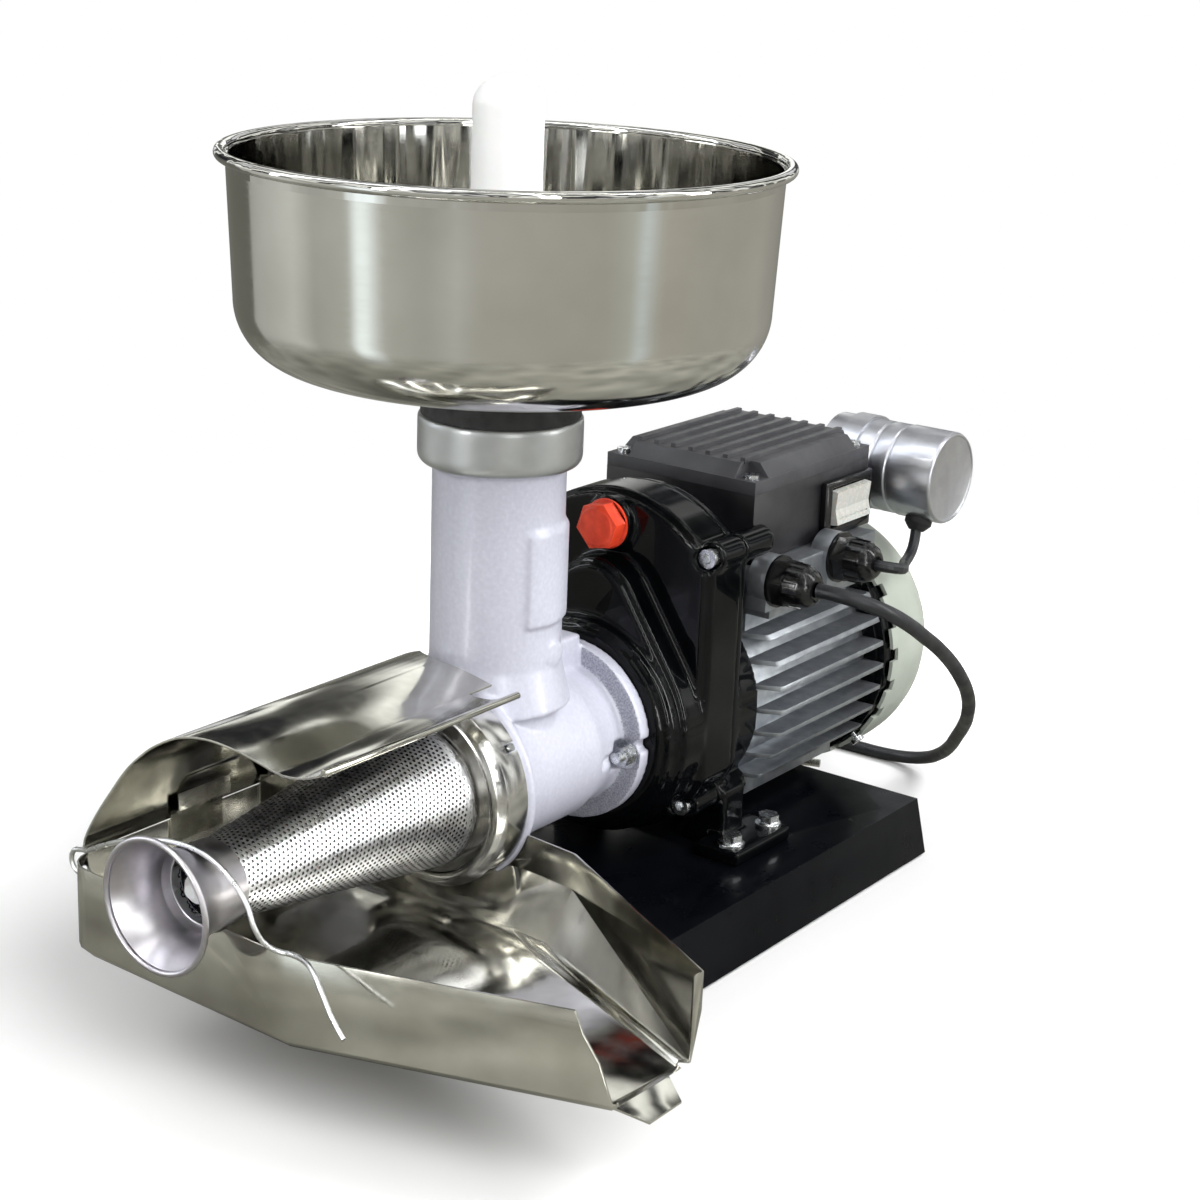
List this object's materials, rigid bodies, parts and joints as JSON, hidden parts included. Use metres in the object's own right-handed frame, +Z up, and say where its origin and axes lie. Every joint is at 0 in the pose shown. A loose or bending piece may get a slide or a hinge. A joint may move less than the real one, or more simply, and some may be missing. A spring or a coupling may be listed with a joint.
{
  "type": "electric tomato strainer",
  "caption": "Motor driven strainer with a steel hopper on a cast chimney, feed screw in a perforated cone, drip tray with splash guard, geared motor and black sheet base.",
  "frame": {"origin": "centre of the underside, on the table, midway between the outline's left and right and front and back", "axes": "+X to the machine's right (tray spout), +Y from the outlet back to the motor, +Z up"},
  "size_m": [0.3327, 0.6155, 0.44],
  "materials": {
    "steel": "polished stainless sheet",
    "wire": "bright round wire and pins",
    "zinc": "zinc plated fasteners",
    "silver_paint": "silver lacquer on cast metal",
    "black_paint": "satin black powder coat",
    "gloss_black": "gloss black enamel on cast metal",
    "orange": "orange moulded plug",
    "rubber": "black moulded rubber",
    "white_plastic": "white food grade plastic",
    "rocker": "pale translucent plastic",
    "black_plastic": "black moulded plastic",
    "aluminium": "cast and drawn aluminium",
    "cover_paint": "pale grey green lacquer",
    "bright_steel": "machined steel",
    "core": "laminated electrical steel",
    "copper": "enamelled copper wire",
    "brass": "brass",
    "board": "phenolic board",
    "cord": "black sheathed flexible cord"
  },
  "bodies": {
    "machine": {"base_tray": "black_paint", "base_feet": "rubber", "foot_bolts": "zinc", "gear_case": "gloss_black", "gear_cover": "black_paint", "case_screws": "zinc", "oil_plug": "orange", "shaft_seal": "rubber", "output_bearings": "bright_steel", "countershaft_bearings": "bright_steel", "motor_bearings": "bright_steel", "stator_core": "core", "stator_windings": "copper", "motor_frame": "aluminium", "end_shield": "black_paint", "fan_cover": "cover_paint", "fan_cover_screws": "zinc", "terminal_box": "black_plastic", "terminal_lid": "black_plastic", "lid_screws": "zinc", "terminal_block": "board", "terminal_studs": "brass", "switch_frame": "black_plastic", "capacitor_can": "aluminium", "capacitor_clamp": "zinc", "capacitor_boot": "rubber", "capacitor_lead": "cord", "lead_gland": "black_plastic", "supply_gland": "black_plastic", "power_cord": "cord", "cord_coil": "cord", "coil_tie": "white_plastic", "mains_plug": "black_plastic", "plug_pins": "bright_steel", "strainer_body": "silver_paint", "flange_nuts": "zinc", "mouth_pins": "wire"},
    "hopper": {"hopper_bowl": "steel", "hopper_collar": "rubber"},
    "pusher": {"pusher": "white_plastic"},
    "rotor": {"motor_shaft": "bright_steel", "motor_pinion": "bright_steel", "rotor_core": "core", "cooling_fan": "black_plastic"},
    "countershaft": {"countershaft": "bright_steel", "countershaft_pinion": "bright_steel", "countershaft_gear": "bright_steel"},
    "screw": {"output_shaft": "bright_steel", "output_gear": "bright_steel", "screw_driver": "bright_steel", "feed_screw": "white_plastic"},
    "strainer_set": {"filter_cone": "steel", "filter_ring": "steel", "outlet_cone": "steel", "tray_collar": "steel", "drip_tray": "steel"},
    "guard": {"splash_guard": "steel", "guard_hooks": "steel"},
    "clip": {"latch_clip": "wire"},
    "rocker": {"switch_rocker": "rocker"}
  },
  "joints": [
    {"name": "hopper_lift", "type": "slide", "parent": "machine", "child": "hopper", "axis": [0, 0, 1], "range_m": [0, 0.12]},
    {"name": "pusher_lift", "type": "slide", "parent": "machine", "child": "pusher", "axis": [0, 0, 1], "range_m": [0, 0.25]},
    {"name": "rotor_spin", "type": "hinge", "parent": "machine", "child": "rotor", "pos_m": [-0.03365, 0.14725, 0.108], "axis": [0, 1, 0], "continuous": true},
    {"name": "countershaft_spin", "type": "hinge", "parent": "machine", "child": "countershaft", "pos_m": [-0.03365, 0.05725, 0.158], "axis": [0, 1, 0], "continuous": true},
    {"name": "screw_spin", "type": "hinge", "parent": "machine", "child": "screw", "pos_m": [-0.03365, -0.05275, 0.108], "axis": [0, 1, 0], "continuous": true},
    {"name": "strainer_slide", "type": "slide", "parent": "machine", "child": "strainer_set", "axis": [0, -1, 0], "range_m": [0, 0.26]},
    {"name": "guard_hinge", "type": "hinge", "parent": "strainer_set", "child": "guard", "pos_m": [-0.12565, -0.15775, 0.0926], "axis": [0, -1, 0], "range_deg": [0, 95]},
    {"name": "clip_hinge", "type": "hinge", "parent": "strainer_set", "child": "clip", "pos_m": [-0.12505, -0.23775, 0.089], "axis": [0, -1, 0], "range_deg": [0, 100]},
    {"name": "rocker_tilt", "type": "hinge", "parent": "machine", "child": "rocker", "pos_m": [0.01275, 0.19175, 0.2015], "axis": [0, 1, 0], "range_deg": [-8, 8]}
  ],
  "couplings": [
    {"joint": "countershaft_spin", "follows": "rotor_spin", "ratio": -0.26984},
    {"joint": "screw_spin", "follows": "rotor_spin", "ratio": 0.072814}
  ]
}
